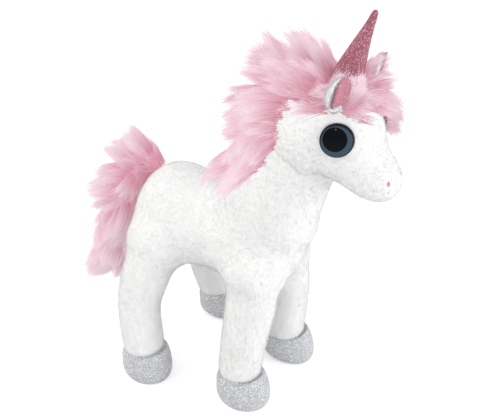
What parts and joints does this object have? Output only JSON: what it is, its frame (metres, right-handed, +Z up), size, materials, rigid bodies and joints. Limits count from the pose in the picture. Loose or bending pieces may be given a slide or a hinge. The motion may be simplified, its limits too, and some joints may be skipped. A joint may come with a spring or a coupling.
{
  "type": "plush unicorn",
  "caption": "Standing plush unicorn with a long-pile pink mane and tail, stuffed glitter horn, glitter hooves, lined ears and domed safety eyes; head, legs, ears and tail give on soft joints",
  "frame": {"origin": "centre of the box on the floor under the hooves", "axes": "+Z up, nose towards -Y, the animal's left side towards +X"},
  "size_m": [0.084, 0.169, 0.188],
  "materials": {
    "white_plush": "short dense white plush pile",
    "stuffing": "polyester fibre filling",
    "pink_pile": "long pink pile, paler at the tips",
    "rose_glitter": "dusty rose cloth with fine glitter",
    "silver_glitter": "silver cloth with fine glitter",
    "eye_dome": "clear domed plastic over a slate ring and a black pupil",
    "eye_black": "black moulded plastic",
    "eye_washer": "white moulded plastic",
    "nostril_thread": "pink embroidery thread"
  },
  "bodies": {
    "torso": {"body_cover": "white_plush", "body_stuffing": "stuffing", "neck_mane": "pink_pile"},
    "head": {"head_cover": "white_plush", "head_stuffing": "stuffing", "right_eye_dome": "eye_dome", "right_eye_back": "eye_black", "right_eye_washer": "eye_washer", "left_eye_dome": "eye_dome", "left_eye_back": "eye_black", "left_eye_washer": "eye_washer", "right_nostril": "nostril_thread", "left_nostril": "nostril_thread", "horn_cover": "rose_glitter", "horn_stuffing": "stuffing", "forelock": "pink_pile", "crown_mane": "pink_pile"},
    "right_ear": {"right_ear_back": "white_plush", "right_ear_lining": "rose_glitter"},
    "left_ear": {"left_ear_back": "white_plush", "left_ear_lining": "rose_glitter"},
    "tail": {"tail": "pink_pile"},
    "front_right_leg": {"front_right_leg_cover": "white_plush", "front_right_leg_stuffing": "stuffing", "front_right_hoof_cover": "silver_glitter", "front_right_hoof_filling": "stuffing"},
    "front_left_leg": {"front_left_leg_cover": "white_plush", "front_left_leg_stuffing": "stuffing", "front_left_hoof_cover": "silver_glitter", "front_left_hoof_filling": "stuffing"},
    "hind_right_leg": {"hind_right_leg_cover": "white_plush", "hind_right_leg_stuffing": "stuffing", "hind_right_hoof_cover": "silver_glitter", "hind_right_hoof_filling": "stuffing"},
    "hind_left_leg": {"hind_left_leg_cover": "white_plush", "hind_left_leg_stuffing": "stuffing", "hind_left_hoof_cover": "silver_glitter", "hind_left_hoof_filling": "stuffing"}
  },
  "joints": [
    {"name": "head_nod", "type": "hinge", "parent": "torso", "child": "head", "pos_m": [0, -0.04766, 0.1375], "axis": [1, 0, 0], "range_deg": [-8, 12], "stiffness_Nm_per_rad": 0.15},
    {"name": "right_ear_fold", "type": "hinge", "parent": "head", "child": "right_ear", "pos_m": [-0.01469, -0.06207, 0.15324], "axis": [0.9419, -0.3209, 0.099], "range_deg": [0, 30], "stiffness_Nm_per_rad": 0.00015},
    {"name": "left_ear_fold", "type": "hinge", "parent": "head", "child": "left_ear", "pos_m": [0.01469, -0.06207, 0.15324], "axis": [0.9419, 0.3209, -0.099], "range_deg": [0, 30], "stiffness_Nm_per_rad": 0.00015},
    {"name": "front_right_leg_swing", "type": "hinge", "parent": "torso", "child": "front_right_leg", "pos_m": [-0.0135, -0.0244, 0.0665], "axis": [1, 0, 0], "range_deg": [-20, 6], "stiffness_Nm_per_rad": 0.2},
    {"name": "front_left_leg_swing", "type": "hinge", "parent": "torso", "child": "front_left_leg", "pos_m": [0.0135, -0.0244, 0.0665], "axis": [1, 0, 0], "range_deg": [-20, 6], "stiffness_Nm_per_rad": 0.2},
    {"name": "hind_right_leg_swing", "type": "hinge", "parent": "torso", "child": "hind_right_leg", "pos_m": [-0.0175, 0.02509, 0.0665], "axis": [1, 0, 0], "range_deg": [-8, 20], "stiffness_Nm_per_rad": 0.2},
    {"name": "hind_left_leg_swing", "type": "hinge", "parent": "torso", "child": "hind_left_leg", "pos_m": [0.0175, 0.02509, 0.0665], "axis": [1, 0, 0], "range_deg": [-8, 20], "stiffness_Nm_per_rad": 0.2},
    {"name": "tail_lift", "type": "hinge", "parent": "torso", "child": "tail", "pos_m": [0, 0.03802, 0.0978], "axis": [1, 0, 0], "range_deg": [0, 50]}
  ]
}
